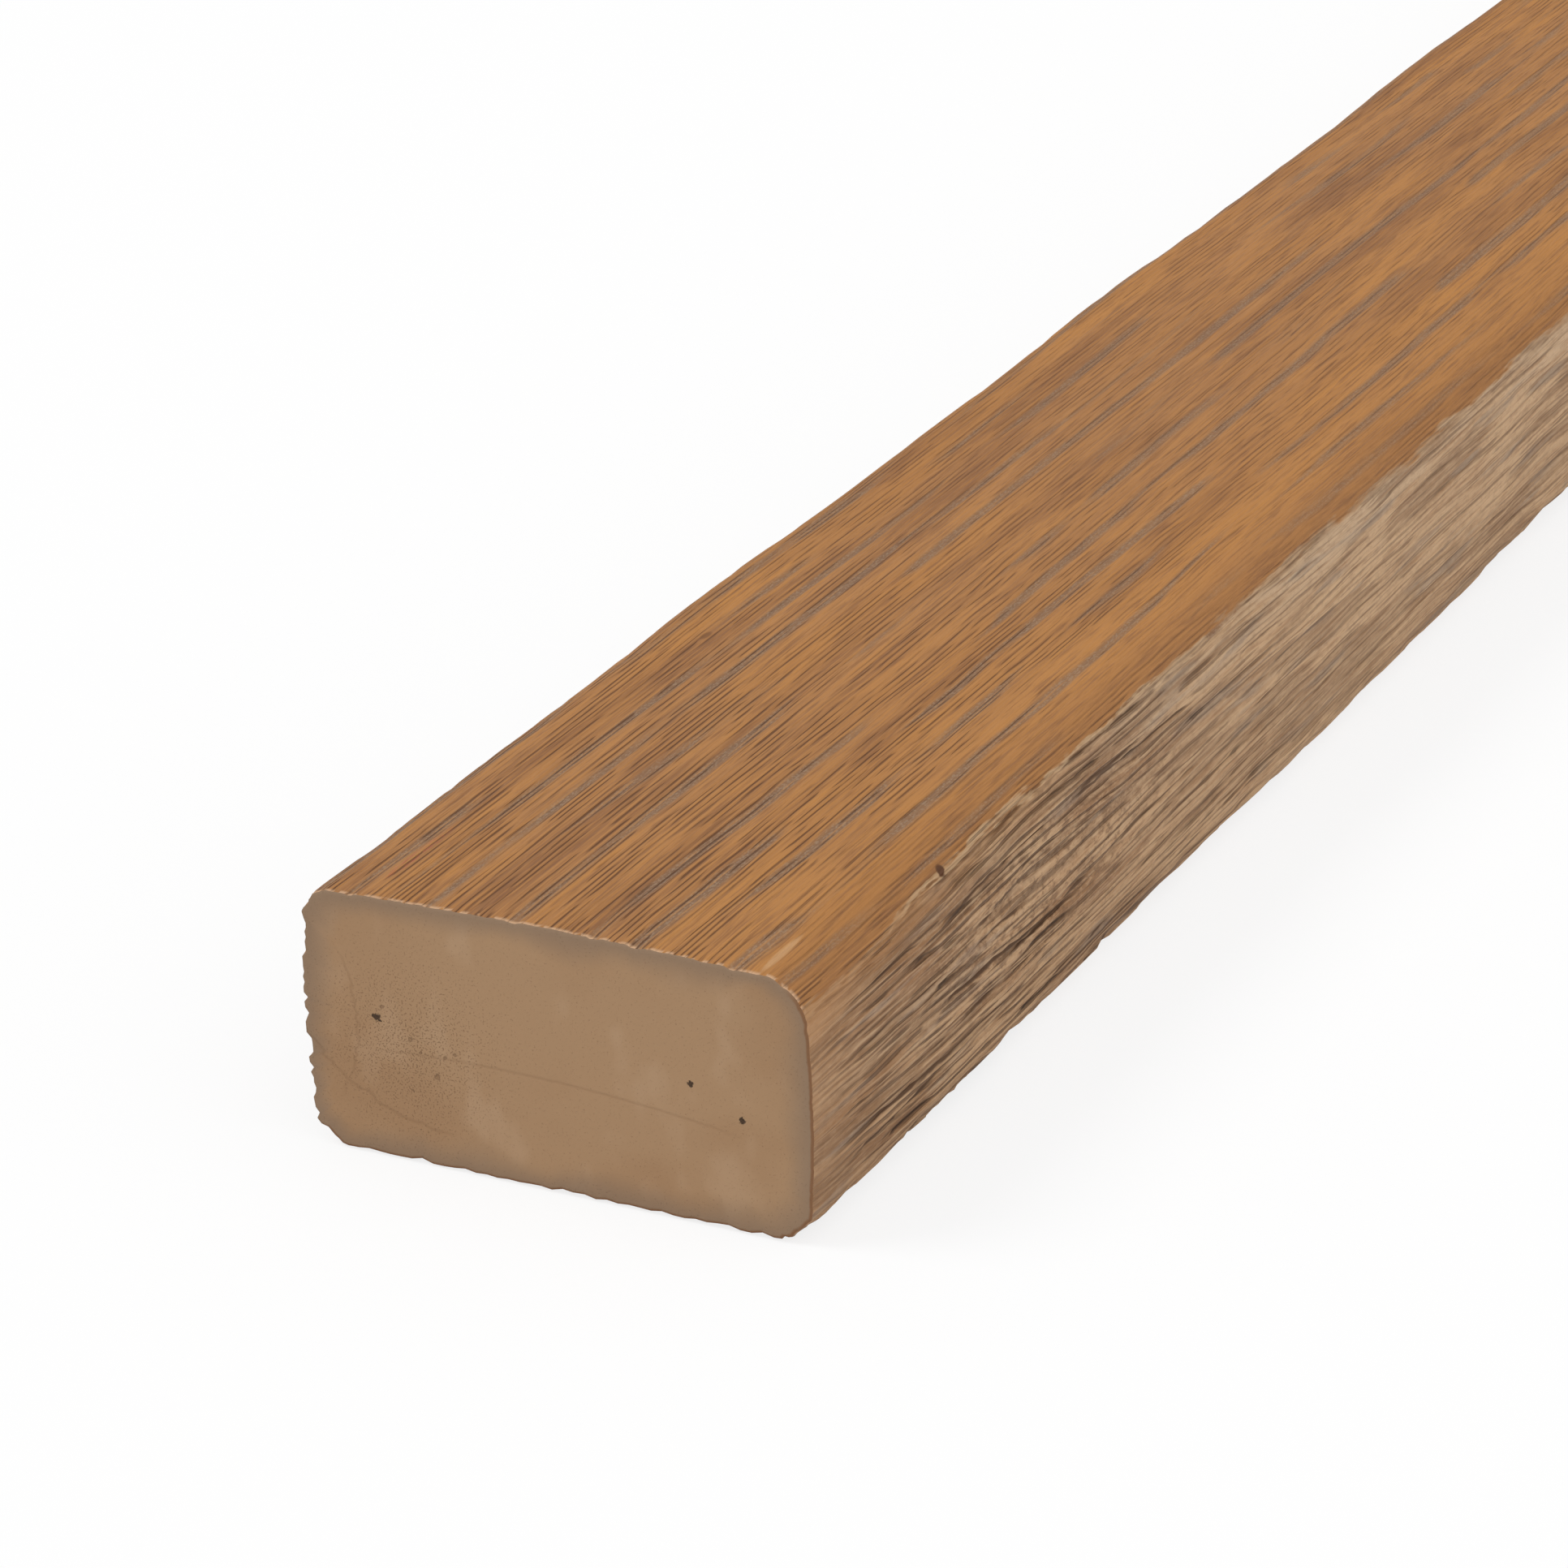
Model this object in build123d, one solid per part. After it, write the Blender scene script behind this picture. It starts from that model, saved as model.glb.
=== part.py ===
from build123d import *
import math
import os

# A moulded composite batten: one solid bar of 50 x 25 mm section, cast in a mould taken from a
# hand-worked oak lath, then levelled flat underneath and sawn square at both ends. Its top and
# sides are crowned, its four arrises are rounded by different amounts, and its edges wander
# gently along the length. Lengths in millimetres. X runs along the bar, Y across it and Z up;
# the origin is the centre of the underside, and the near end is the one at the lowest X.

# Stock size
LENGTH = 2400.0
WIDTH = 50.0
THICKNESS = 25.0

# Section: how far each face swells past its own corners, and the four arris radii
TOP_CROWN = 0.4
SIDE_CROWN = 0.6
TOP_LEFT_RADIUS = 2.4
TOP_RIGHT_RADIUS = 3.8
BOTTOM_LEFT_RADIUS = 3.0
BOTTOM_RIGHT_RADIUS = 3.6

# What is levelled off the underside after moulding
UNDERSIDE_TRIM = 0.3

# Edge waves: a long wave with a shorter one on it. A depth is the whole swing, inwards from the
# full size: the sides swing across the bar, and the shoulders of the top swing up and down.
SIDE_WAVE_DEPTH = 0.5
SHOULDER_WAVE_DEPTH = 0.35
LONG_WAVE = 97.0
SHORT_WAVE = 46.0
SHORT_WAVE_SHARE = 0.35

# Where each edge's waves start, as a share of their own length, counted from the near end
LEFT_LONG_PHASE = 0.51
LEFT_SHORT_PHASE = 0.61
RIGHT_LONG_PHASE = 0.0
RIGHT_SHORT_PHASE = 0.86

# Distance between the sections that the bar is lofted through, at most
STATION_PITCH = 15.0


def swing(x, long_phase, short_phase):
    """Where a wavy edge stands at x, from 0 at its furthest in to 1 at its furthest out."""
    from_near_end = x + LENGTH / 2
    long_part = math.sin(2 * math.pi * (from_near_end / LONG_WAVE + long_phase))
    short_part = math.sin(2 * math.pi * (from_near_end / SHORT_WAVE + short_phase))
    mixed = (1 - SHORT_WAVE_SHARE) * long_part + SHORT_WAVE_SHARE * short_part
    return (1 + mixed) / 2


def section(x):
    """The moulded outline at x, as a face: flat underside, crowned sides and top, four radii."""
    left_dip = 1 - swing(x, LEFT_LONG_PHASE, LEFT_SHORT_PHASE)
    right_dip = 1 - swing(x, RIGHT_LONG_PHASE, RIGHT_SHORT_PHASE)
    left = WIDTH / 2 - SIDE_WAVE_DEPTH * left_dip
    right = -WIDTH / 2 + SIDE_WAVE_DEPTH * right_dip
    left_shoulder = THICKNESS - TOP_CROWN - SHOULDER_WAVE_DEPTH * left_dip
    right_shoulder = THICKNESS - TOP_CROWN - SHOULDER_WAVE_DEPTH * right_dip

    bottom_left = (left - SIDE_CROWN, -UNDERSIDE_TRIM)
    bottom_right = (right + SIDE_CROWN, -UNDERSIDE_TRIM)
    top_left = (left - SIDE_CROWN, left_shoulder)
    top_right = (right + SIDE_CROWN, right_shoulder)

    underside = Line(bottom_right, bottom_left)
    left_side = ThreePointArc(bottom_left, (left, THICKNESS / 2), top_left)
    top = ThreePointArc(top_left, ((left + right) / 2, THICKNESS), top_right)
    right_side = ThreePointArc(top_right, (right, THICKNESS / 2), bottom_right)
    outline = make_face([underside, left_side, top, right_side])

    corners = {
        bottom_left: BOTTOM_LEFT_RADIUS,
        bottom_right: BOTTOM_RIGHT_RADIUS,
        top_left: TOP_LEFT_RADIUS,
        top_right: TOP_RIGHT_RADIUS,
    }
    for corner, radius in corners.items():
        vertex = outline.vertices().sort_by_distance(Vector(*corner))[0]
        outline = fillet(vertex, radius)
    return Plane.YZ.offset(x) * outline


def moulding():
    """The bar as it leaves the mould, one span too long at each end, lofted through sections."""
    spans = math.ceil(LENGTH / STATION_PITCH)
    span = LENGTH / spans
    stations = [-LENGTH / 2 + span * i for i in range(-1, spans + 2)]
    return loft([section(x) for x in stations])


def batten():
    """The moulding with its underside levelled and its two ends sawn square."""
    sawn_space = Box(
        LENGTH, 2 * WIDTH, 2 * THICKNESS, align=(Align.CENTER, Align.CENTER, Align.MIN)
    )
    return moulding() & sawn_space


os.makedirs("parts", exist_ok=True)
export_step(batten(), "parts/batten.step")
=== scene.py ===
# %% [markdown]
# A moulded composite batten, lying on its flat underside. The real bar is cast in one piece, in
# a mould taken from a rough oak lath, brushed with a golden-brown coat and sawn square, so it
# needs one mesh with two finishes: the moulded grain of its four long faces and the bare
# composite of its two ends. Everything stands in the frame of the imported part, in metres: X runs
# along the bar, Y across it and Z up, and the end that the camera sees is the one at lowest X.

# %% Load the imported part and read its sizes
import math
import bpy
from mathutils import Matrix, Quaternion, Vector


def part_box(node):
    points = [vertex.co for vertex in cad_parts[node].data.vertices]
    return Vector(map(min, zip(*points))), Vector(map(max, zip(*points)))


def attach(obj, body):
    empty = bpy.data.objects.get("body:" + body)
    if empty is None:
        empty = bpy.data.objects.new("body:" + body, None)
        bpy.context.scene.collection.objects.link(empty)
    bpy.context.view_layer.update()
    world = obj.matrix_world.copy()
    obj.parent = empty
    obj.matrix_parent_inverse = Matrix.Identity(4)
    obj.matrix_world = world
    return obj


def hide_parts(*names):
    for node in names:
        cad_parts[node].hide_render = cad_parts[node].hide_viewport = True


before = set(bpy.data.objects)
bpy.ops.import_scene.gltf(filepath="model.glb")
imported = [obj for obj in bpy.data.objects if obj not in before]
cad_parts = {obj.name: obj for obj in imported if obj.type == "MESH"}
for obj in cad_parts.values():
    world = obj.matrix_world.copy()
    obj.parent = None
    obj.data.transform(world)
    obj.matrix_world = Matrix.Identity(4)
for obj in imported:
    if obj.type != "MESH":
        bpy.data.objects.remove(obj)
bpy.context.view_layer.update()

MM = 0.001
low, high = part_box("batten")
LENGTH, WIDTH, THICKNESS = [float(round((b - a) / MM)) for a, b in zip(low, high)]
print("batten in mm:", LENGTH, WIDTH, THICKNESS)

# %% [markdown]
# The camera comes first, because it says which end of the bar is seen and how closely. It stands
# to the right of the near end and looks down along the bar through a long lens. It could be aimed
# with a Track To constraint, but a heading, a pitch and a small roll say the same in three angles
# that can be read off a photograph, so the aim is worked out from them.

# %% Set up the camera
LENS = 130.32
HEADING = math.radians(27.735)
PITCH = math.radians(23.979)
ROLL = math.radians(1.88)
CAMERA_FROM_NEAR_END = Vector((-371.55, -218.36, 229.04)) * MM

aim = Vector(
    (
        math.cos(PITCH) * math.cos(HEADING),
        math.cos(PITCH) * math.sin(HEADING),
        -math.sin(PITCH),
    )
)
camera = bpy.data.objects.new("camera", bpy.data.cameras.new("camera"))
bpy.context.scene.collection.objects.link(camera)
camera.data.lens = LENS
camera.data.clip_start = 0.01
camera.location = Vector((low.x, 0, 0)) + CAMERA_FROM_NEAR_END
camera.rotation_mode = "QUATERNION"
camera.rotation_quaternion = aim.to_track_quat("-Z", "Y") @ Quaternion((0, 0, 1), -ROLL)
bpy.context.scene.camera = camera
print("camera stands at", tuple(round(v, 3) for v in camera.location))

# %% [markdown]
# The grain follows a rule, and the same rule has to cut the mesh and colour the material, or the
# dark paint would not lie in the grooves. Both are node trees, so the rule is written once, as a
# formula, and a small class turns each sum, product or named step of it into a node.

# %% Write formulas as nodes
def add_node(tree, kind, inputs=None, outlet=0, **settings):
    """Adds a node, sets it up, feeds its inputs and returns one of its outputs as a Flow."""
    node = tree.nodes.new(kind)
    for name, value in settings.items():
        setattr(node, name, value)
    for key, value in (inputs or {}).items():
        if isinstance(value, Flow):
            tree.links.new(value.socket, node.inputs[key])
        else:
            node.inputs[key].default_value = value
    return Flow(node.outputs[outlet])


class Flow:
    """A value that runs through a node tree. Each step below adds the node that does it."""

    def __init__(self, socket):
        self.socket = socket
        self.tree = socket.id_data

    def math(self, operation, *others):
        values = dict(enumerate((self, *others)))
        return add_node(self.tree, "ShaderNodeMath", values, operation=operation)

    def __add__(self, other):
        return self.math("ADD", other)

    def __sub__(self, other):
        return self.math("SUBTRACT", other)

    def __mul__(self, other):
        return self.math("MULTIPLY", other)

    def __truediv__(self, other):
        return self.math("DIVIDE", other)

    def __rsub__(self, other):
        return self.math("MULTIPLY_ADD", -1.0, other)

    def __rtruediv__(self, other):
        return self.math("POWER", -1.0) * other

    __radd__ = __add__
    __rmul__ = __mul__

    def size(self):
        return self.math("ABSOLUTE")

    def least(self, other):
        return self.math("MINIMUM", other)

    def most(self, other):
        return self.math("MAXIMUM", other)

    def wave(self):
        """The sine of a number of turns."""
        return (self * (2 * math.pi)).math("SINE")

    def rise(self, start, end):
        """0 up to start, 1 from end on, and smooth between them. It falls if end is lower."""
        falls = end < start
        values = {"Value": self, "From Min": min(start, end), "From Max": max(start, end)}
        values.update({"To Min": float(falls), "To Max": float(not falls)})
        return add_node(
            self.tree, "ShaderNodeMapRange", values, interpolation_type="SMOOTHSTEP"
        )

    def to(self, other, share):
        """This number where share is 0 and the other one where it is 1."""
        return add_node(self.tree, "ShaderNodeMix", {0: share, 2: self, 3: other})

    def painted(self, colour, share):
        """This colour, with another one over it where share is above 0."""
        values = {0: share, 6: self, 7: colour}
        return add_node(self.tree, "ShaderNodeMix", values, 2, data_type="RGBA")

    def toward(self, other, share):
        """This place, moved towards another one."""
        values = {0: share, 4: self, 5: other}
        return add_node(self.tree, "ShaderNodeMix", values, 1, data_type="VECTOR")

    def moved(self, other):
        """This place, moved by a vector."""
        values = {0: self, 1: other}
        return add_node(self.tree, "ShaderNodeVectorMath", values, operation="ADD")

    def length(self):
        """How long this vector is."""
        return add_node(self.tree, "ShaderNodeVectorMath", {0: self}, 1, operation="LENGTH")

    def scaled(self, x, y, z):
        """This vector, stretched along each axis by itself."""
        values = {0: self, 1: (x, y, z)}
        return add_node(self.tree, "ShaderNodeVectorMath", values, operation="MULTIPLY")

    def times(self, number):
        """This vector, times one number."""
        values = {0: self, "Scale": number}
        return add_node(self.tree, "ShaderNodeVectorMath", values, operation="SCALE")

    def parts(self):
        """The three numbers of this vector."""
        node = add_node(self.tree, "ShaderNodeSeparateXYZ", {0: self}).socket.node
        return [Flow(outlet) for outlet in node.outputs]

    def noise(self, detail=0.0, roughness=0.5):
        """Smooth noise at this place, mostly between 0.3 and 0.7."""
        values = {"Vector": self, "Scale": 1.0, "Detail": detail, "Roughness": roughness}
        return add_node(self.tree, "ShaderNodeTexNoise", values)


def vector(tree, x, y, z):
    """Three numbers as one vector."""
    return add_node(tree, "ShaderNodeCombineXYZ", {0: x, 1: y, 2: z})


# %% [markdown]
# The rule for the grain. On the real bar the top is combed: shallow channels a few millimetres
# apart, with bundles of fine dark threads between them. The two sides are rougher, with furrows
# and deep crevices that part round a knot. Channels, threads, grooves and crevices are each a
# sine wave over the distance round the section, with its own pitch, and only its crests are
# cut. Noise that is stretched along the bar bends the lines, and more such noise shows or
# hides them, so that they come and go in streaks. Noise alone could do it too, but its lines
# close into loops, which wood never has, so it does only for the wide, soft furrows. Noise
# here has no seed: it is fixed by the place in millimetres, so each run is the same.

# %% Where the side finish starts
COAT_REACH = 0.6
COAT_REACH_AT_END = 2.6
COAT_REACH_FURTHER_ON = 1.5
COAT_RAGGEDNESS = 5.0


def past_arris(place):
    """How far a place lies round the top arris in mm: below 0 on the top, above 0 on a side.

    Under the bar it falls to 0 again in the middle, so a narrow strip of coat shows there.
    """
    _, across, up = place.parts()
    return across.size() - WIDTH / 2 + THICKNESS - up


def past_coat(place):
    """How far a place lies past the ragged edge of the golden coat in mm, round the arris."""
    along, _, _ = place.parts()
    ragged = (place.scaled(0.09, 0.7, 0.7).noise(3.0, 0.65) - 0.5) * COAT_RAGGEDNESS
    reach = along.rise(24.0, 4.0) * (COAT_REACH_AT_END - COAT_REACH) + COAT_REACH
    reach = reach + along.rise(80.0, 150.0) * (COAT_REACH_FURTHER_ON - COAT_REACH)
    return past_arris(place) + ragged - reach


# %% [markdown]
# The lath that the mould was taken from had knots, and its grain flows round them. To carry that
# flow into every mark at once, the place itself is pushed before the marks are worked out: all
# over by a slow noise, so that neighbouring lines wander together, and near a knot towards its
# middle, which spreads the lines round it. The deepest crevices beside the first knot are too
# particular for any noise. They are given one by one, each as a straight line that wobbles and
# runs out at both ends.

# %% The flow of the grain
KNOT_PLACE = 46.0
KNOT_HEIGHT = 14.0
KNOT_LENGTH = 15.0
KNOT_WIDTH = 4.0
KNOT_SPACING = 410.0
ARRIS_REACH = 5.0
DRIFT = 3.0
SHORT_DRIFT = 0.35
SIDE_RIPPLE = 0.9
PARTING = 0.5


def knot_nearness(place):
    """1 at the middle of a knot on the right side, and less the further away from it."""
    along, across, up = place.parts()
    from_knot = (along + (KNOT_SPACING / 2 - KNOT_PLACE)).math("WRAP", KNOT_SPACING, 0.0)
    lengthwise = (from_knot - KNOT_SPACING / 2) / KNOT_LENGTH
    upwards = (up - KNOT_HEIGHT) / KNOT_WIDTH
    nearness = 1.0 / (lengthwise * lengthwise + upwards * upwards + 1.0)
    return nearness * across.rise(0.0, -WIDTH / 2)


def combed(place):
    """A place, pushed sideways so that the grain wanders, and parts round knots on the right."""
    along, across, up = place.parts()
    drift = (place.scaled(0.006, 0.03, 0.03).noise(1.0) - 0.5) * DRIFT
    drift = drift + (place.scaled(0.07, 0.25, 0.25).noise(1.0) - 0.5) * SHORT_DRIFT
    near_side = across.size().rise(WIDTH / 2 - ARRIS_REACH, WIDTH / 2)
    ripple = (place.scaled(0.03, 0.12, 0.12).noise(1.0) - 0.5) * near_side * SIDE_RIPPLE
    parted = (up - KNOT_HEIGHT) * knot_nearness(place) * near_side * -PARTING
    return vector(place.tree, along, across + drift, up + drift + ripple + parted)


# %% The deep crevices beside the first knot
CREVICES = (
    (16.0, 25.0, 17.8, 18.0, 0.28),
    (23.5, 40.0, 18.7, 19.3, 0.32),
    (34.0, 58.0, 22.0, 23.6, 0.3),
    (20.0, 31.0, 13.5, 13.9, 0.22),
    (29.0, 44.0, 14.0, 13.9, 0.22),
    (29.5, 41.5, 15.4, 15.9, 0.22),
    (36.0, 55.0, 10.2, 10.0, 0.28),
    (40.0, 53.0, 8.8, 9.0, 0.26),
    (28.0, 38.0, 8.0, 8.3, 0.28),
    (6.0, 27.0, 4.8, 5.7, 0.26),
    (17.0, 31.0, 6.3, 6.0, 0.22),
    (52.0, 70.0, 19.5, 19.2, 0.3),
)
CREVICE_TAPER = 5.0
CREVICE_WOBBLE = 1.3


def placed_crevices(place):
    """1 in the crevices, each given as first and last mm, its height at both, and half width."""
    along, across, up = place.parts()
    wobbling = up + (place.scaled(0.1, 0.3, 0.3).noise(3.0, 0.65) - 0.5) * CREVICE_WOBBLE
    share = 0.0
    for first, last, low_end, high_end, half_width in CREVICES:
        line = (along - first) * ((high_end - low_end) / (last - first)) + low_end
        tapered = along.rise(first, first + CREVICE_TAPER) * along.rise(last, last - CREVICE_TAPER)
        cut = (wobbling - line).size().rise(half_width, half_width * 0.3) * tapered
        share = cut.most(share)
    return share * across.rise(0.0, -1.0)


# %% Streaks and lines along the grain
FILLED_SHARE = 0.5


def from_end(along):
    """Distance in mm to the nearer sawn end."""
    return along.least(LENGTH - along)


def open_grain(place):
    """1 where the coat left the fine grain open, near the ends, and less further on."""
    along, _, _ = place.parts()
    return 1.0 - from_end(along).rise(35.0, 130.0) * FILLED_SHARE


def streaks(flow, along, across, detail=1.0, roughness=0.5):
    """Noise in streaks, from how many there are in a millimetre along and across the grain."""
    return flow.scaled(along, across, across).noise(detail, roughness)


def teeth(flow, pitch, unevenness):
    """A wave over lines that are drawn along the bar at a pitch, from -1 to 1."""
    _, across, up = flow.parts()
    round_section = across + across.math("SIGN") * (THICKNESS - up)
    return (round_section / pitch + unevenness).wave()


# %% The channels and threads of the top
RING_PITCH = 2 * THICKNESS / 12
COMB_PITCH = 2 * THICKNESS / 80
SMOOTH_EDGE = -20.5
PRESSED_IN = 0.14


def top_marks(flow, place, openness):
    """The channels, and the comb of fine lines with its dark threads, partly painted shade, and the
    ribs between them, painted pale as a highlight.
    """
    along, across, _ = place.parts()
    bare = (across - SMOOTH_EDGE).size().rise(1.0, 3.0) * 0.6 + 0.4
    ring = teeth(flow, RING_PITCH, streaks(flow, 0.008, 0.06) * 1.4)
    ring_mask = streaks(flow, 0.03, 0.3).rise(0.42, 0.54)
    channel = ring.rise(0.25, 0.95) * ring_mask * bare * (openness * 0.4 + 0.6)

    uneven = streaks(flow, 0.01, 0.3) * 1.8 + streaks(flow, 0.05, 1.1) * 0.7
    comb = teeth(flow, COMB_PITCH, uneven)
    bundle = streaks(flow, 0.035, 0.4, 2.0).rise(0.32, 0.5) * bare
    threaded = bundle * streaks(flow, 0.12, 2.3).rise(0.44, 0.56) * openness
    pressed = from_end(along).rise(70.0, 10.0) * PRESSED_IN
    return {
        "channel": channel,
        "comb": comb,
        "bundle": bundle,
        "thread": (comb + pressed).rise(0.65, 0.97) * threaded,
        "rib": comb.rise(-0.2, -0.95) * threaded,
    }


# %% The furrows, grooves and crevices of the sides
GROOVE_PITCH = 2 * THICKNESS / 44
CRACK_PITCH = 2 * THICKNESS / 22
SETTLED_LENGTH = 14.0


def side_marks(flow, place, openness):
    """The marks of the sides, and how far they have settled at a place behind the saw cut."""
    along, _, _ = place.parts()
    settled = from_end(along).rise(0.0, SETTLED_LENGTH) * 0.7 + 0.3
    patch = knot_nearness(place).rise(0.08, 0.5) * 0.75 + 0.25
    bends = streaks(flow, 0.03, 0.35) * 1.2 + streaks(flow, 0.15, 1.0) * 0.2
    groove = teeth(flow, GROOVE_PITCH, bends).rise(0.65, 0.97) * settled
    groove = groove * (streaks(flow, 0.1, 1.1) + patch * 0.06).rise(0.46, 0.55) * openness
    cracks = teeth(flow, CRACK_PITCH, streaks(flow, 0.012, 0.14) * 1.2)
    crevice = cracks.rise(0.9, 0.98) * streaks(flow, 0.07, 0.45).rise(0.46, 0.54)
    return {
        "settled": settled,
        "patch": patch,
        "groove": groove,
        "furrow": streaks(flow, 0.035, 0.6, 2.0).rise(0.52, 0.44),
        "crevice": (crevice * openness * settled).most(placed_crevices(place)),
        "rough": place.scaled(0.8, 1.6, 1.6).noise(3.0, 0.65),
    }


# %% The grain rule
CHANNEL_DEPTH = 0.14
FURROW_DEPTH = 0.16
CREVICE_DEPTH = 0.3
TOP_FINE = {"thread": 0.12, "fibre": -0.05, "comb": 0.03}
SIDE_FINE = {"thread": 0.1, "fibre": -0.12, "comb": 0.05, "groove": 0.2}
ROUGH_DEPTH = 0.12
HAIR_DEPTH = 0.03


def summed(marks, depths):
    """The depth in mm of some marks together, each with its own depth."""
    return sum(marks[name] * depth for name, depth in depths.items())


def grain(place):
    """Shares of each mark at a place in mm, the depth for the mesh, and the finer depth."""
    flow = combed(place)
    openness = open_grain(place)
    marks = {
        **top_marks(flow, place, openness),
        **side_marks(flow, place, openness),
        "side": past_coat(place).rise(-0.3, 0.5),
        "fibre": streaks(flow, 0.1, 2.4, 3.0, 0.65),
        "hair": streaks(flow, 0.35, 6.0, 2.0, 0.6),
    }
    top_cut = marks["channel"] * CHANNEL_DEPTH
    side_cut = marks["furrow"] * FURROW_DEPTH + marks["crevice"] * CREVICE_DEPTH
    side_fine = summed(marks, SIDE_FINE) - marks["rough"] * marks["patch"] * ROUGH_DEPTH
    fine = summed(marks, TOP_FINE).to(side_fine * marks["settled"] * openness, marks["side"])
    return {
        **marks,
        "depth": top_cut.to(side_cut * marks["settled"], marks["side"]),
        "fine": fine - marks["hair"] * HAIR_DEPTH,
    }


# %% [markdown]
# The bar itself. Its section is a rounded rectangle, and it is swept along a rail of stations.
# A Curve to Mesh node could sweep it, but then the ends would be two flat fans. Here a grid is
# wrapped instead: each row of it is one station, each column follows one point of the outline,
# and the first and last rows shrink onto a line across the sawn ends. The points that come to
# that line from above and from below lie on it without being the same, so it is shut but not
# joined. The points can be set close together where grain has to be cut: they stand about a
# millimetre apart near the ends and further apart along the middle. Where they are too far
# apart to carry the grain, the depth fades out of the mesh and the bump takes it over.

# %% The outline: points round the section
TOP_CROWN = 0.4
SIDE_CROWN = 0.6
UNDERSIDE_TRIM = 0.3
ARRISES = (
    {"side": -1, "on_top": False, "radius": 3.6, "steps": 14, "next_pitch": 1.1},
    {"side": 1, "on_top": False, "radius": 3.0, "steps": 8, "next_pitch": 0.5},
    {"side": 1, "on_top": True, "radius": 2.4, "steps": 10, "next_pitch": 0.34},
    {"side": -1, "on_top": True, "radius": 3.8, "steps": 20, "next_pitch": 0.29},
)


def on_arris(arris, out):
    """The place on a rounded arris that faces the direction out."""
    radius = arris["radius"]
    middle_y = arris["side"] * (WIDTH / 2 - radius)
    middle_z = THICKNESS - radius if arris["on_top"] else radius - UNDERSIDE_TRIM
    return middle_y + radius * out[0], middle_z + radius * out[1]


def crowned(y, z):
    """A place on the plain section, moved in so that each face swells in its middle."""
    inward = SIDE_CROWN * (2 * z / THICKNESS - 1) ** 2 * 2 * y / WIDTH
    downward = TOP_CROWN * (2 * y / WIDTH) ** 2 * z / THICKNESS
    return y - inward, max(z - downward, 0.0)


def section_outline():
    """Points round the section in mm, as (place, outward direction)."""
    points = []
    for turn, arris in enumerate(ARRISES):
        for step in range(arris["steps"] + 1):
            angle = math.pi + math.pi / 2 * (turn + step / arris["steps"])
            out = (math.cos(angle), math.sin(angle))
            points.append((crowned(*on_arris(arris, out)), out))
        here = on_arris(arris, out)
        there = on_arris(ARRISES[(turn + 1) % len(ARRISES)], out)
        spans = round(math.dist(here, there) / arris["next_pitch"])
        for i in range(1, spans):
            place = [a + (b - a) * i / spans for a, b in zip(here, there)]
            points.append((crowned(*place), out))
    return points


outline = section_outline()
print("points round the section:", len(outline))

# %% The rail: stations along the bar
FINEST_PITCH = 1.2
WIDEST_PITCH = 18.0
NEAR_GROWTH = 0.014
FAR_GROWTH = 0.1
PITCH_WITH_ALL_GRAIN = 4.0
PITCH_WITH_NO_GRAIN = 11.0
TORN_PLACES = (0.12, 0.4, 0.8)
RIM_SHARES = (1.0, 0.72, 0.48, 0.28, 0.15, 0.07, 0.03, 0.008)


def stations():
    """Rows as (mm from the near end, share of the way in, share of the grain that is cut)."""
    rows = [(0.0, share, 1.0) for share in RIM_SHARES]
    rows += [(place, 0.0, 1.0) for place in TORN_PLACES]
    place = FINEST_PITCH
    while place < LENGTH - FINEST_PITCH / 2:
        near = FINEST_PITCH + NEAR_GROWTH * place
        far = FINEST_PITCH + FAR_GROWTH * (LENGTH - place)
        pitch = min(near, far, WIDEST_PITCH)
        spare = (PITCH_WITH_NO_GRAIN - pitch) / (PITCH_WITH_NO_GRAIN - PITCH_WITH_ALL_GRAIN)
        rows.append((place, 0.0, min(1.0, max(0.0, spare))))
        place += pitch
    rows += [(LENGTH - place, 0.0, 1.0) for place in reversed(TORN_PLACES)]
    return rows + [(LENGTH, share, 1.0) for share in reversed(RIM_SHARES)]


rail = stations()
print("stations:", len(rail), "so about", 2 * len(rail) * len(outline), "triangles")

# %% Put the outline and the rail into two helper meshes
def point_object(name, places):
    """An object whose mesh is only points."""
    mesh = bpy.data.meshes.new(name)
    mesh.from_pydata(places, [], [])
    made = bpy.data.objects.new(name, mesh)
    bpy.context.scene.collection.objects.link(made)
    return made


outline_points = point_object("outline_points", [(0, *place) for place, out in outline])
outward = outline_points.data.attributes.new("outward", "FLOAT_VECTOR", "POINT")
outward.data.foreach_set("vector", [v for place, out in outline for v in (0, *out)])
rail_points = point_object("rail_points", rail)

# %% Small steps for the geometry tree
def named(tree, name, kind="FLOAT_VECTOR"):
    """An attribute that points carry under a name."""
    return add_node(tree, "GeometryNodeInputNamedAttribute", {"Name": name}, data_type=kind)


def sample(geometry, value, number):
    """The value that one point of another geometry has."""
    inputs = {"Geometry": geometry, "Value": value, "Index": number}
    return add_node(
        geometry.tree, "GeometryNodeSampleIndex", inputs, data_type="FLOAT_VECTOR"
    )


def store(geometry, name, value, kind="FLOAT_VECTOR"):
    """The same geometry, with one more named attribute on its points."""
    inputs = {"Geometry": geometry, "Name": name, "Value": value}
    return add_node(
        geometry.tree, "GeometryNodeStoreNamedAttribute", inputs, data_type=kind
    )


def whole(number, operation, other):
    """Whole-number sums, for counting rows and columns."""
    return add_node(
        number.tree, "FunctionNodeIntegerMath", {0: number, 1: other}, operation=operation
    )


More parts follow.
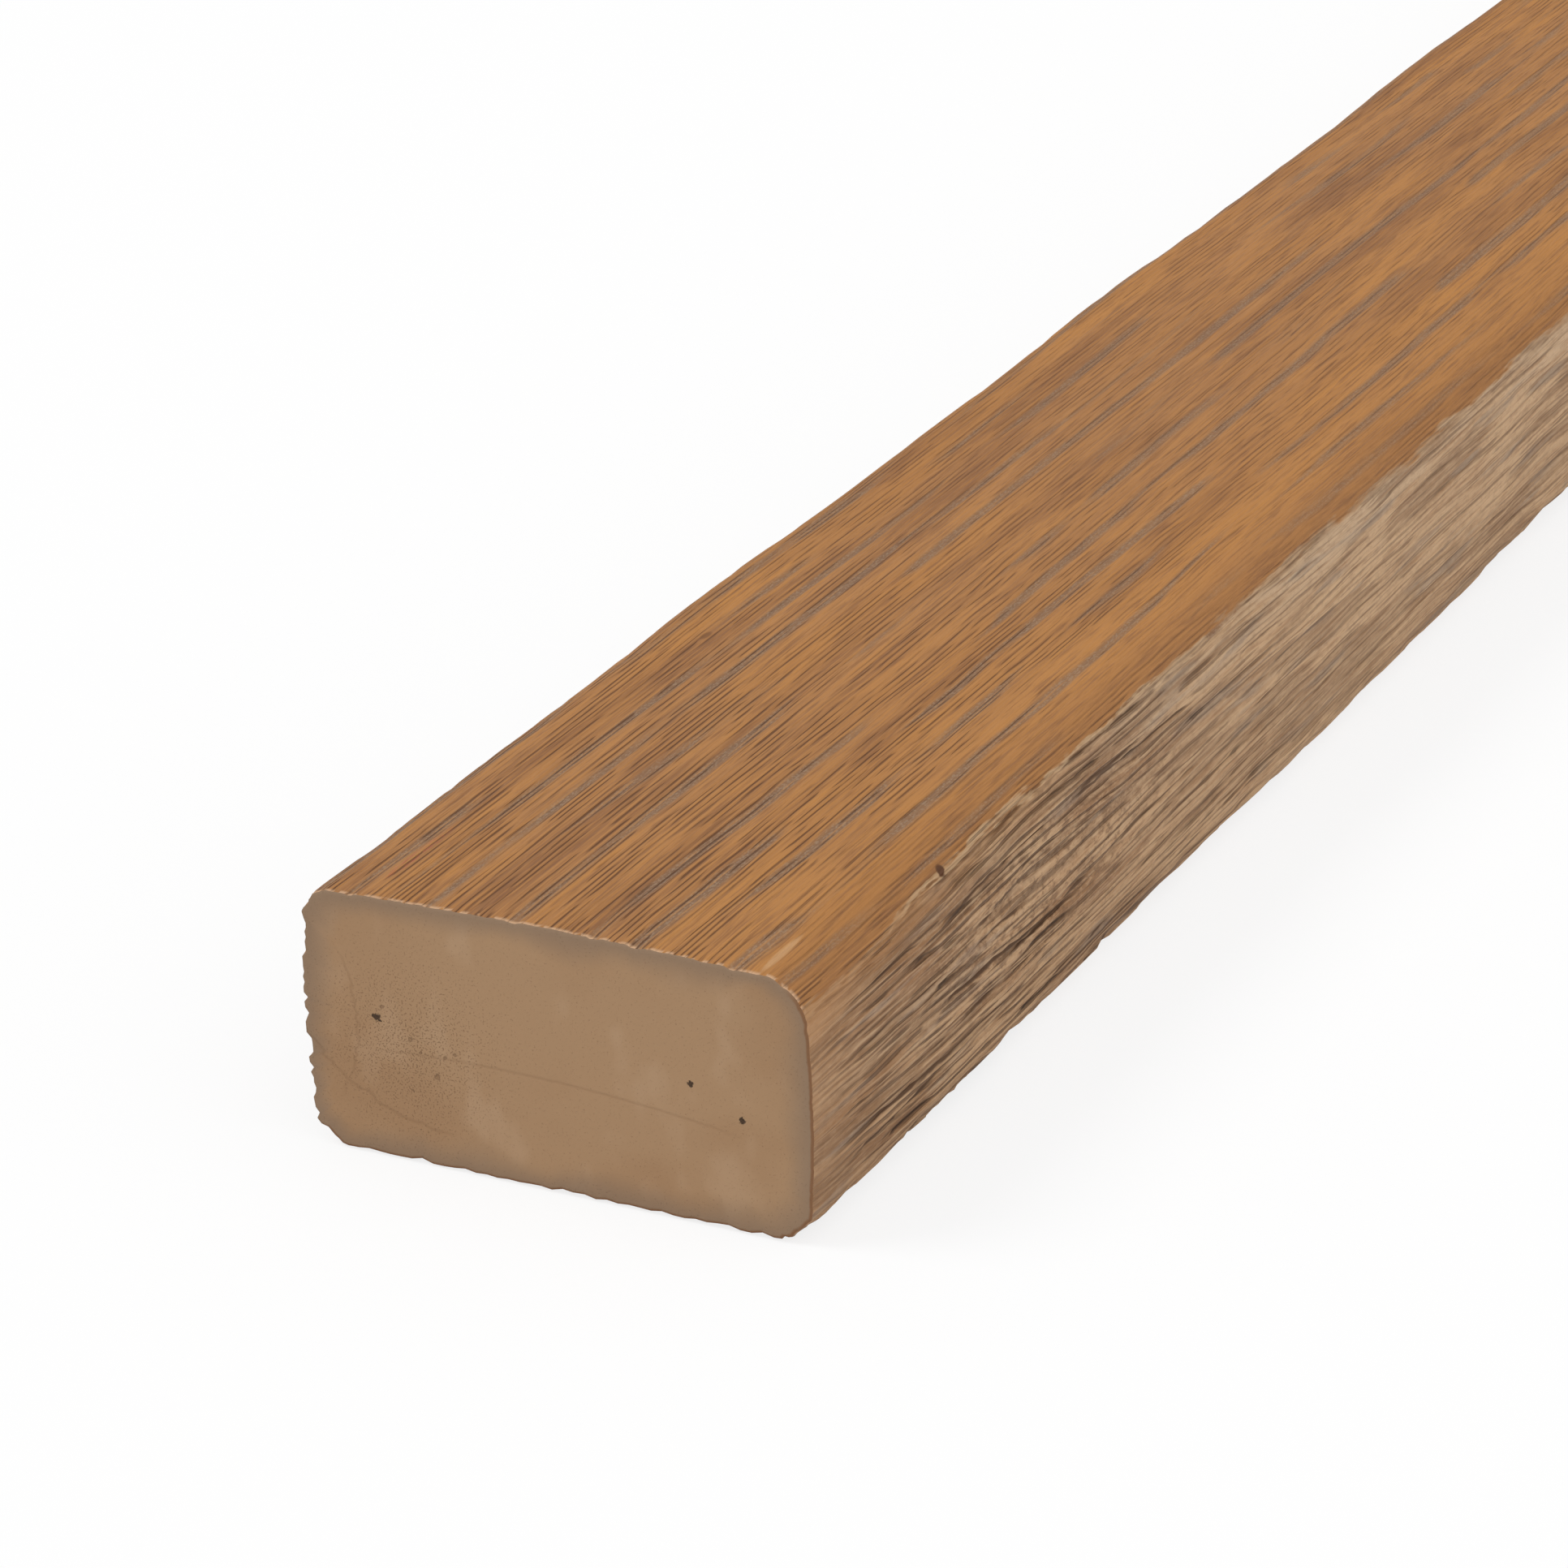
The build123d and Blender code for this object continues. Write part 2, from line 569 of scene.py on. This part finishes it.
# %% The edge waves: a long wave with a shorter one on it
SIZES = {
    "Side wave depth": 0.5,
    "Shoulder wave depth": 0.35,
    "Long wave": 97.0,
    "Short wave": 46.0,
    "Short wave share": 0.35,
    "Left long phase": 0.51,
    "Left short phase": 0.61,
    "Right long phase": 0.0,
    "Right short phase": 0.86,
}


def dip(along, edge, sizes):
    """How far in from its full size an edge lies, as a share of the depth of its swing."""
    long_wave = (along / sizes["Long wave"] + sizes[edge + " long phase"]).wave()
    short_wave = (along / sizes["Short wave"] + sizes[edge + " short phase"]).wave()
    return (1.0 - long_wave.to(short_wave, sizes["Short wave share"])) * 0.5


def wavy(along, place, sizes):
    """A place on the straight section, moved in with the wandering edges."""
    _, y, z = place.parts()
    leftness = y / WIDTH + 0.5
    left_dip = dip(along, "Left", sizes)
    right_dip = dip(along, "Right", sizes)
    sideways = leftness * left_dip - (1.0 - leftness) * right_dip
    from_middle = (y / (WIDTH / 2)).math("POWER", 2.0) * (z / THICKNESS)
    downward = right_dip.to(left_dip, leftness) * from_middle
    return vector(
        along.tree,
        along,
        y - sideways * sizes["Side wave depth"],
        z - downward * sizes["Shoulder wave depth"],
    )


# %% [markdown]
# Damage. The saw tore small chips from the skin as it left the cut, most of all on the left and
# below, and the arrises have crumbled a little everywhere. Both are more depth for the same skin,
# so they need no cutters: a chip is a place where a noise rises above its middle value, deeper
# the closer it is to the cut or to a corner of the section.

# %% The saw-torn edges of the two ends
TORN_REACH = 1.6
TORN_DEPTH = 0.1
TORN_MORE_ON_LEFT = 0.42
TORN_MORE_BELOW = 0.2


def torn(place, out):
    """How deep the saw tore the skin at a place that faces the direction out."""
    along, _, _ = place.parts()
    _, leftward, upward = out.parts()
    most = leftward.most(0.0) * TORN_MORE_ON_LEFT + (upward * -1.0).most(0.0) * TORN_MORE_BELOW
    chips = place.scaled(0.15, 0.7, 0.7).noise(2.0, 0.6).rise(0.44, 0.62)
    return chips * (most + TORN_DEPTH) * from_end(along).rise(TORN_REACH, 0.0)


# %% The flaked arrises
FLAKE_DEPTH = 0.1
FLAKE_MORE_BELOW = 0.2


def flaked(place, out):
    """How much of an arris has crumbled away at a place that faces the direction out."""
    _, leftward, upward = out.parts()
    on_corner = leftward.size() * upward.size() * 2.0
    flakes = place.scaled(0.22, 0.45, 0.45).noise(2.0, 0.6).rise(0.45, 0.6)
    deepest = (upward * -1.0).rise(0.0, 0.5) * FLAKE_MORE_BELOW + FLAKE_DEPTH
    return flakes * on_corner * deepest


# %% The moulding tree
def open_tree(name):
    """A geometry tree with the bar's inputs, and those inputs by name."""
    tree = bpy.data.node_groups.new(name, "GeometryNodeTree")
    kinds = {"Geometry": "Geometry", "Rail": "Object"}
    kinds.update(dict.fromkeys(SIZES, "Float"))
    kinds.update({"Coat": "Material", "Sawn face": "Material"})
    for label, kind in kinds.items():
        tree.interface.new_socket(label, in_out="INPUT", socket_type="NodeSocket" + kind)
    tree.interface.new_socket("Geometry", in_out="OUTPUT", socket_type="NodeSocketGeometry")
    entry = tree.nodes.new("NodeGroupInput")
    return tree, {label: Flow(entry.outputs[label]) for label in kinds}


def moulding_tree(rows, columns):
    """The tree that wraps a grid round the outline and the rail, and cuts the grain into it."""
    tree, given = open_tree("batten_moulding")
    rail_info = add_node(tree, "GeometryNodeObjectInfo", {"Object": given["Rail"]}).socket.node
    rail_shape = Flow(rail_info.outputs["Geometry"])
    position = add_node(tree, "GeometryNodeInputPosition")
    number = add_node(tree, "GeometryNodeInputIndex")
    row = whole(number, "DIVIDE_FLOOR", columns + 1)
    column = whole(whole(number, "FLOORED_MODULO", columns + 1), "FLOORED_MODULO", columns)

    along, inset, in_mesh = sample(rail_shape, position, row).parts()
    straight = sample(given["Geometry"], position, column)
    out = sample(given["Geometry"], named(tree, "outward"), column)
    skin = wavy(along, straight, given)
    _, y, _ = skin.parts()
    half_line = (WIDTH - THICKNESS) / 2
    middle = vector(tree, along, y.least(half_line).most(-half_line), THICKNESS / 2)

    depth = (grain(skin)["depth"] + flaked(skin, out)) * in_mesh + torn(skin, out)
    carved = skin.moved(out.times(depth * -1.0)).toward(middle, inset)
    placed = carved.moved((-LENGTH / 2, 0.0, 0.0)).times(MM)

    counts = {"Vertices X": rows, "Vertices Y": columns + 1}
    shape = add_node(tree, "GeometryNodeMeshGrid", counts)
    shape = store(shape, "rest", skin.toward(middle, inset))
    shape = store(shape, "inset", inset, "FLOAT")
    shape = store(shape, "in_mesh", in_mesh, "FLOAT")
    shape = store(shape, "placed", placed)
    shape = add_node(
        tree, "GeometryNodeSetPosition", {"Geometry": shape, "Position": named(tree, "placed")}
    )
    shape = add_node(tree, "GeometryNodeMergeByDistance", {"Geometry": shape, "Distance": 1e-7})
    shape = add_node(tree, "GeometryNodeRemoveAttribute", {"Geometry": shape, "Name": "placed"})
    shape = add_node(tree, "GeometryNodeFlipFaces", {"Mesh": shape})
    shape = add_node(tree, "GeometryNodeSetShadeSmooth", {"Geometry": shape})
    shape = add_node(tree, "GeometryNodeRealizeInstances", {"Geometry": shape})
    shape = add_node(
        tree, "GeometryNodeSetMaterial", {"Geometry": shape, "Material": given["Coat"]}
    )
    sawn = add_node(
        tree,
        "FunctionNodeCompare",
        {0: named(tree, "inset", "FLOAT"), 1: RIM_SHARES[-1] / 4},
        operation="GREATER_THAN",
    )
    faces = {"Geometry": shape, "Selection": sawn, "Material": given["Sawn face"]}
    shape = add_node(tree, "GeometryNodeSetMaterial", faces)
    exit_node = tree.nodes.new("NodeGroupOutput")
    tree.links.new(shape.socket, exit_node.inputs["Geometry"])
    return tree


tree = moulding_tree(len(rail), len(outline))
print("nodes in the moulding tree:", len(tree.nodes))

# %% [markdown]
# Two materials. The coat is painted in the order in which the real one seems to be: a warm
# base, a lighter and a darker brown along the grain, then a thin grey-brown wash that stayed in
# the channels, and last the dark of the open pores, which is partly painted shade in the fine
# grooves, with a painted highlight on the ribs between them. The coat was brushed on the top and
# ends in a ragged edge just round the arrises, with a pale torn lip and a painted shadow under
# it, so the sides show paler composite, brown in its furrows and crevices, which is partly
# painted shade, with a painted highlight just below the top arris. Each layer is laid over the
# one below with a Mix node, and where it lies comes from the grain rule or from a noise of its
# own. Away from the ends the coat fills half of the fine grain.

# %% Colours, matched to the photographed bar by mean shades
def colour(red, green, blue):
    """A screen colour of 0 to 255 as the linear one that shaders work in."""
    parts = [value / 255 for value in (red, green, blue)]
    linear = [p / 12.92 if p <= 0.04045 else ((p + 0.055) / 1.055) ** 2.4 for p in parts]
    return (*linear, 1.0)


GOLD = colour(177, 125, 75)
AMBER = colour(186, 128, 66)
UMBER = colour(134, 91, 58)
WASH = colour(126, 99, 78)
PORE = colour(96, 60, 34)
CHIP = colour(202, 162, 126)
RED_TINT = colour(176, 92, 66)
PALE_STREAK = colour(206, 160, 112)
LIP = colour(202, 170, 132)
SHOULDER_HIGHLIGHT = colour(196, 168, 138)
WASH_DUST = colour(172, 148, 122)
RIB_HIGHLIGHT = colour(190, 134, 76)
SIDE_BASE = colour(185, 147, 109)
SIDE_RIDGE = colour(202, 168, 131)
SIDE_BROWN = colour(150, 110, 74)
SIDE_FURROW = colour(126, 94, 66)
CREVICE_BROWN_AND_SHADE = colour(84, 57, 36)
SIDE_SLATE = colour(140, 128, 116)


def solid(tree, value):
    """A colour as the start of a stack of paint."""
    node = tree.nodes.new("ShaderNodeRGB")
    node.outputs[0].default_value = value
    return Flow(node.outputs[0])


# %% Small steps for the materials
def attribute(tree, name, outlet=1):
    """What the mesh stores under a name: a vector, or a number from outlet 2."""
    return add_node(tree, "ShaderNodeAttribute", outlet=outlet, attribute_name=name)


def bump(height):
    """A shading normal for a height in mm."""
    return add_node(height.tree, "ShaderNodeBump", {"Height": height, "Distance": MM})


def new_material(name):
    """An empty material: its tree and its shader."""
    made = bpy.data.materials.new(name)
    made.use_nodes = True
    return made, made.node_tree, made.node_tree.nodes["Principled BSDF"]


# %% The paint of the top
RED_SMUDGE = (10.0, 18.0, 12.0, 1.2)
PALE_SMUDGE = (4.3, -20.0, 8.0, 0.9)
DARK_SMUDGE = (62.8, 17.8, 2.2, 0.9)


def smudge(place, along, across, length, width):
    """1 in the middle of a long soft patch on the top near the first end, 0 outside it."""
    x, y, _ = place.parts()
    lengthwise = (x - along) / (length / 2)
    crosswise = (y - across) / (width / 2)
    return (lengthwise * lengthwise + crosswise * crosswise).rise(1.2, 0.3)


def light_and_dark(marks):
    """The marks of the grain, with the pale and the dark parts of its fibres and hairs."""
    return {
        **marks,
        "pale fibre": marks["fibre"].rise(0.48, 0.66),
        "dark fibre": marks["fibre"].rise(0.5, 0.34),
        "pale hair": marks["hair"].rise(0.5, 0.75),
    }


def top_paint(place, marks):
    """The golden coat of the top, from its warm base to the dark pores, which are partly painted
    shade.
    """
    _, across, _ = place.parts()
    speckle = place.scaled(2.5, 5.0, 5.0).noise(1.0, 0.7).rise(0.5, 0.62)
    red_share = place.scaled(0.5, 2.5, 2.5).noise(2.0, 0.7).rise(0.42, 0.6) * 0.7
    top = solid(place.tree, GOLD)
    top = top.painted(AMBER, place.scaled(0.012, 0.12, 0.12).noise(2.0).rise(0.42, 0.7) * 0.8)
    top = top.painted(UMBER, place.scaled(0.02, 0.2, 0.2).noise(3.0).rise(0.46, 0.68) * 0.7)
    top = top.painted(AMBER, across.rise(2.0, -20.0) * 0.5)
    top = top.painted(AMBER, marks["pale fibre"] * 0.5)
    top = top.painted(UMBER, marks["dark fibre"] * 0.6)
    browned = marks["bundle"].rise(0.55, 1.0) * (across.rise(-22.0, -6.0) * 0.16 + 0.06)
    top = top.painted(UMBER, browned)
    top = top.painted(UMBER, across.rise(-18.0, -24.0) * 0.45)
    top = top.painted(WASH, marks["channel"] * 0.8)
    top = top.painted(WASH_DUST, marks["channel"] * speckle * 0.4)
    # Painted highlight: the ribs between the threads and the raised hairs are painted pale.
    top = top.painted(RIB_HIGHLIGHT, (marks["rib"] * 0.5).most(marks["pale hair"] * 0.2))
    # The dark of the pores along the threads, partly painted shade in their grooves.
    top = top.painted(PORE, marks["thread"] * (across.rise(-22.0, -8.0) * 0.25 + 0.57))
    top = top.painted(RED_TINT, smudge(place, *RED_SMUDGE) * red_share)
    top = top.painted(PALE_STREAK, smudge(place, *PALE_SMUDGE) * 0.7)
    return top.painted(PORE, smudge(place, *DARK_SMUDGE) * 0.5)


# %% The paint of the sides
def side_paint(place, marks):
    """The paler composite of the sides: brown in furrows and crevices, partly painted shade, and
    painted highlights.
    """
    along, _, _ = place.parts()
    side = solid(place.tree, SIDE_BASE)
    side = side.painted(SIDE_BROWN, place.scaled(0.03, 0.2, 0.2).noise(2.0).rise(0.46, 0.64))
    side = side.painted(SIDE_BROWN, from_end(along).rise(24.0, 4.0) * 0.5)
    side = side.painted(SIDE_RIDGE, from_end(along).rise(40.0, 125.0) * 0.6)
    # Painted highlight: a pale band along each side just below the top arris.
    round_arris = past_arris(place)
    pale = round_arris.rise(0.0, 1.5) * round_arris.rise(7.0, 3.5) * along.rise(35.0, 75.0)
    pale = pale * place.scaled(0.03, 0.4, 0.4).noise(2.0, 0.6).rise(0.36, 0.56)
    side = side.painted(SHOULDER_HIGHLIGHT, pale * 0.6)
    # Brown in the furrows, partly their own colour and partly painted shade in the dips.
    side = side.painted(SIDE_FURROW, marks["furrow"] * 0.52)
    side = side.painted(SIDE_RIDGE, marks["pale fibre"] * marks["settled"] * 0.45)
    side = side.painted(SIDE_BROWN, marks["dark fibre"] * marks["settled"] * 0.5)
    side = side.painted(SIDE_SLATE, place.scaled(0.05, 0.6, 0.6).noise(2.0).rise(0.57, 0.68) * 0.4)
    crumbs = marks["rough"].rise(0.5, 0.62) * marks["patch"]
    side = side.painted(SIDE_FURROW, crumbs * 0.7)
    side = side.painted(SIDE_RIDGE, marks["rough"].rise(0.48, 0.36) * marks["patch"] * 0.4)
    # Painted highlight: the ribs between the grooves and the raised hairs are painted pale.
    pale_lines = (marks["rib"] * 0.4 * marks["settled"]).most(marks["pale hair"] * 0.2)
    side = side.painted(SIDE_RIDGE, pale_lines)
    # The dark in crevices, grooves and threads is partly their own brown and partly painted shade.
    fine_lines = (marks["thread"] * 0.6 * marks["settled"]).most(marks["groove"] * 0.7)
    return side.painted(CREVICE_BROWN_AND_SHADE, marks["crevice"].most(fine_lines) * 0.92)


# %% The coat
ARRIS_PIT = (27.3, -23.65, 23.1)
ARRIS_PIT_REACH = 0.75
EDGE_SHADOW_PLACE = 0.95
LIP_PLACE = 0.15
COAT_ROUGHNESS = 0.72
COAT_GLOSS = 0.3


def coat_material():
    made, tree, shader = new_material("moulded_oak_coat")
    place = attribute(tree, "rest")
    marks = light_and_dark(grain(place))
    along, across, up = place.parts()
    from_edge = past_coat(place)
    torn_share = along.rise(14.0, 24.0) * along.rise(90.0, 60.0) * 0.7 + 0.3
    torn_share = torn_share * across.rise(0.0, -1.0)
    tinted = from_edge.rise(4.5, 0.0) * from_end(along).rise(75.0, 25.0)
    # Painted shadow: a dark line just under the torn edge of the coat.
    edge_shadow = (from_edge - EDGE_SHADOW_PLACE).size().rise(0.4, 0.15) * torn_share
    side = side_paint(place, marks).painted(GOLD, tinted * 0.5)
    side = side.painted(CREVICE_BROWN_AND_SHADE, edge_shadow * 0.3)
    painted = top_paint(place, marks).painted(side, marks["side"])
    crumbled = place.scaled(0.3, 1.2, 1.2).noise(2.0, 0.7).rise(0.34, 0.5)
    lip = (from_edge - LIP_PLACE).size().rise(0.55, 0.25) * torn_share * crumbled
    painted = painted.painted(LIP, lip * 0.6)
    pit = place.moved([-v for v in ARRIS_PIT]).length().rise(ARRIS_PIT_REACH, ARRIS_PIT_REACH * 0.6)
    painted = painted.painted(PORE, pit)
    chips = place.scaled(0.5, 1.1, 1.1).noise(2.0).rise(0.42, 0.52)
    chips = chips * up.rise(THICKNESS - 5.0, THICKNESS - 2.0) * from_end(along).rise(0.7, 0.2)
    painted = painted.painted(CHIP, chips)
    painted = painted.painted(PORE, marks["hair"].rise(0.5, 0.25) * 0.2)

    left_to_bump = 1.0 - attribute(tree, "in_mesh", 2)
    normal = bump(-1.0 * (marks["fine"] + marks["depth"] * left_to_bump))

    tree.links.new(painted.socket, shader.inputs["Base Color"])
    tree.links.new(normal.socket, shader.inputs["Normal"])
    shader.inputs["Roughness"].default_value = COAT_ROUGHNESS
    shader.inputs["Specular IOR Level"].default_value = COAT_GLOSS
    return made


coat = coat_material()

# %% [markdown]
# The sawn ends show the bare composite: a fine-pored tan body, greyer where it cooled against the
# mould, with the coat as a thin line along its right and lower edges. Fixed marks are placed by
# their distance from a point or from a curve on the end face. Only the near end has them; the
# far end has its own noise.

# %% Marks on the sawn ends
SAWN = colour(161, 129, 97)
SAWN_PALE = colour(172, 142, 112)
SAWN_DEEP = colour(150, 116, 84)
SAWN_RIM = colour(132, 110, 90)
SAWN_PORE = colour(112, 82, 56)
PIT = colour(50, 34, 24)
SKIN_LINE = colour(126, 90, 62)
STAR_PIT = (17.4, 13.3, 0.35)
PITS = ((-13.2, 13.1, 0.26), (-18.05, 10.6, 0.27))
FAINT_PITS = (
    (14.1, 11.8, 0.18),
    (13.2, 10.7, 0.14),
    (11.6, 8.7, 0.25),
    (10.7, 10.7, 0.14),
    (9.6, 11.2, 0.14),
    (14.1, 6.9, 0.12),
    (16.8, 14.4, 0.14),
)
POROUS_MIDDLE = (14.2, 10.7)
POROUS_REACH = 13.5
LEFT_SEAM = {"middle": (33.5, 12.4), "radius": 14.1}
LOW_SEAM = {"middle": (10.0, 22.0), "radius": 18.7}
LONG_SEAM = {"across": 5.0, "up": 10.65, "sag": 0.0032}


def away(place, spot):
    """Distance in mm across the end face to the middle of a spot."""
    _, across, up = place.parts()
    aside = across - spot[0]
    above = up - spot[1]
    return (aside * aside + above * above).math("SQRT")


def marks_at(place, spots):
    """1 inside any of the spots, each given as across, up and radius, with ragged edges."""
    ragged = (place.scaled(0.0, 3.2, 3.2).noise(2.0, 0.7) - 0.5) * 0.8
    share = 0.0
    for spot in spots:
        share = (away(place, spot) + ragged).rise(spot[2] * 1.25, spot[2] * 0.6) + share
    return share.least(1.0)


def flow_lines(place):
    """Faint seams where the composite met itself in the mould."""
    _, across, up = place.parts()
    from_left = (away(place, LEFT_SEAM["middle"]) - LEFT_SEAM["radius"]).size()
    left = from_left.rise(0.22, 0.0) * up.rise(4.0, 8.0)
    from_low = (away(place, LOW_SEAM["middle"]) - LOW_SEAM["radius"]).size()
    low = from_low.rise(0.3, 0.0) * across.rise(9.0, 12.0)
    aside = across - LONG_SEAM["across"]
    from_long = (up + aside * aside * LONG_SEAM["sag"] - LONG_SEAM["up"]).size()
    long = from_long.rise(0.25, 0.0) * across.size().rise(19.0, 14.0)
    return left.least(up.rise(20.0, 17.0)).most(low).most(long * 0.8)


# %% The sawn composite
SAWN_ROUGHNESS = 0.85
SAWN_GLOSS = 0.25


def sawn_material():
    made, tree, shader = new_material("sawn_composite")
    place = attribute(tree, "rest")
    along, across, up = place.parts()
    at_near_end = along.rise(2.0, 1.0)
    depth_in = attribute(tree, "inset", 2) * (THICKNESS / 2)

    face = solid(tree, SAWN)
    face = face.painted(SAWN_DEEP, place.scaled(0.01, 0.06, 0.09).noise(2.0).rise(0.45, 0.65) * 0.5)
    face = face.painted(SAWN_PALE, place.scaled(0.01, 0.2, 0.13).noise(2.0).rise(0.52, 0.7) * 0.5)
    face = face.painted(SAWN_DEEP, across.rise(8.0, 22.0) * 0.35)
    rim_width = place.scaled(0.01, 0.1, 0.1).noise(1.0) * 6.0
    face = face.painted(SAWN_RIM, (depth_in / rim_width).rise(1.0, 0.0) * 0.8)

    porous = away(place, POROUS_MIDDLE).rise(POROUS_REACH, 0.0) * at_near_end
    pores = place.scaled(1.0, 5.5, 5.5).noise(1.0, 0.5)
    fine_pores = (pores - porous * 0.08).rise(0.36, 0.26) * (porous * 0.5 + 0.5)
    faint = marks_at(place, FAINT_PITS) * at_near_end
    pits = marks_at(place, (STAR_PIT, *PITS)) * at_near_end
    seams = flow_lines(place) * at_near_end
    face = face.painted(SAWN_PORE, fine_pores.most(faint * 0.8).most(seams * 0.4) * 0.55)
    face = face.painted(PIT, pits * 0.9)

    coated_edge = across.rise(-WIDTH / 2 + 3.0, -WIDTH / 2 + 1.0).most(up.rise(2.5, 0.5))
    face = face.painted(SKIN_LINE, depth_in.rise(0.34, 0.12) * coated_edge)
    normal = bump((fine_pores * 0.04 + faint * 0.1 + pits * 0.5 + seams * 0.03) * -1.0)

    tree.links.new(face.socket, shader.inputs["Base Color"])
    tree.links.new(normal.socket, shader.inputs["Normal"])
    shader.inputs["Roughness"].default_value = SAWN_ROUGHNESS
    shader.inputs["Specular IOR Level"].default_value = SAWN_GLOSS
    return made


sawn = sawn_material()

# %% Cast the bar: run the tree and keep its result as a plain mesh
def cast(source, tree, inputs):
    """Runs a geometry tree on an object and returns the result as a mesh."""
    modifier = source.modifiers.new("moulding", "NODES")
    modifier.node_group = tree
    for socket in tree.interface.items_tree:
        if socket.in_out == "INPUT" and socket.name in inputs:
            modifier[socket.identifier] = inputs[socket.name]
    graph = bpy.context.evaluated_depsgraph_get()
    mesh = bpy.data.meshes.new_from_object(source.evaluated_get(graph))
    source.modifiers.remove(modifier)
    if mesh.materials[0] is None:
        mesh.materials.pop(index=0)
    return mesh


inputs = {"Rail": rail_points, "Coat": coat, "Sawn face": sawn, **SIZES}
mesh = cast(outline_points, tree, inputs)
mesh.name = "moulded_batten"
batten = bpy.data.objects.new("moulded_batten", mesh)
bpy.context.scene.collection.objects.link(batten)
for helper in (outline_points, rail_points):
    bpy.data.objects.remove(helper)
mesh.calc_loop_triangles()
volume = sum(
    mesh.vertices[a].co.dot(mesh.vertices[b].co.cross(mesh.vertices[c].co)) / 6
    for a, b, c in (triangle.vertices for triangle in mesh.loop_triangles)
)
print("triangles:", len(mesh.loop_triangles), "volume in cm3:", round(volume * 1e6, 1))
print("materials:", [m.name for m in mesh.materials])

# %% Tell the frame what the bar is
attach(batten, "root")
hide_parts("batten")

# %% [markdown]
# The stage: a white floor and soft, even light, as in a photograph for a catalogue. Two suns with
# wide discs give soft shadows that are the same all along the bar, where an area lamp would fade
# with distance. The floor and the world show as plain white to the camera alone. That white
# comes from Light Path's Is Camera Ray, and not from more light, so the batten's own colours
# stay as they were written and the floor still shows the soft shadow that the bar casts on it.

# %% Floor, world and lamps
FLOOR_SIZE = 40.0
FLOOR_DROP = 0.0002
FLOOR_GLOW = 0.8
FLOOR_WHITE = (0.95, 0.95, 0.95, 1.0)
WORLD_LIGHT = 0.5
LAMPS = {
    "key": {"towards": (-0.3, 0.55, 0.78), "strength": 1.1, "spread": math.radians(25)},
    "fill": {"towards": (-0.35, -0.6, 0.72), "strength": 1.1, "spread": math.radians(90)},
}


def add_floor():
    half = FLOOR_SIZE / 2
    mesh = bpy.data.meshes.new("floor")
    corners = [(x * half, y * half, -FLOOR_DROP) for x, y in ((-1, -1), (1, -1), (1, 1), (-1, 1))]
    mesh.from_pydata(corners, [], [(0, 1, 2, 3)])
    floor = bpy.data.objects.new("floor", mesh)
    bpy.context.scene.collection.objects.link(floor)
    made, tree, shader = new_material("white_floor")
    shader.inputs["Base Color"].default_value = FLOOR_WHITE
    shader.inputs["Roughness"].default_value = 1.0
    shader.inputs["Specular IOR Level"].default_value = 0.0
    glow = add_node(tree, "ShaderNodeEmission", {"Strength": 1.0})
    seen = add_node(tree, "ShaderNodeLightPath")
    mixed = add_node(tree, "ShaderNodeMixShader", {0: seen * FLOOR_GLOW, 2: glow})
    tree.links.new(shader.outputs["BSDF"], mixed.socket.node.inputs[1])
    tree.links.new(mixed.socket, tree.nodes["Material Output"].inputs["Surface"])
    mesh.materials.append(made)
    return floor


floor = add_floor()

world = bpy.data.worlds.new("world")
bpy.context.scene.world = world
world.use_nodes = True
background = world.node_tree.nodes["Background"]
background.inputs["Color"].default_value = (1.0, 1.0, 1.0, 1.0)
seen = add_node(world.node_tree, "ShaderNodeLightPath")
strength = seen.rise(0.0, 1.0) * (1.0 - WORLD_LIGHT) + WORLD_LIGHT
world.node_tree.links.new(strength.socket, background.inputs["Strength"])

for name, lamp in LAMPS.items():
    light = bpy.data.objects.new(name, bpy.data.lights.new(name, "SUN"))
    light.data.energy = lamp["strength"]
    light.data.angle = lamp["spread"]
    light.rotation_euler = Vector(lamp["towards"]).to_track_quat("Z", "Y").to_euler()
    bpy.context.scene.collection.objects.link(light)

bpy.context.scene.view_settings.view_transform = "Standard"
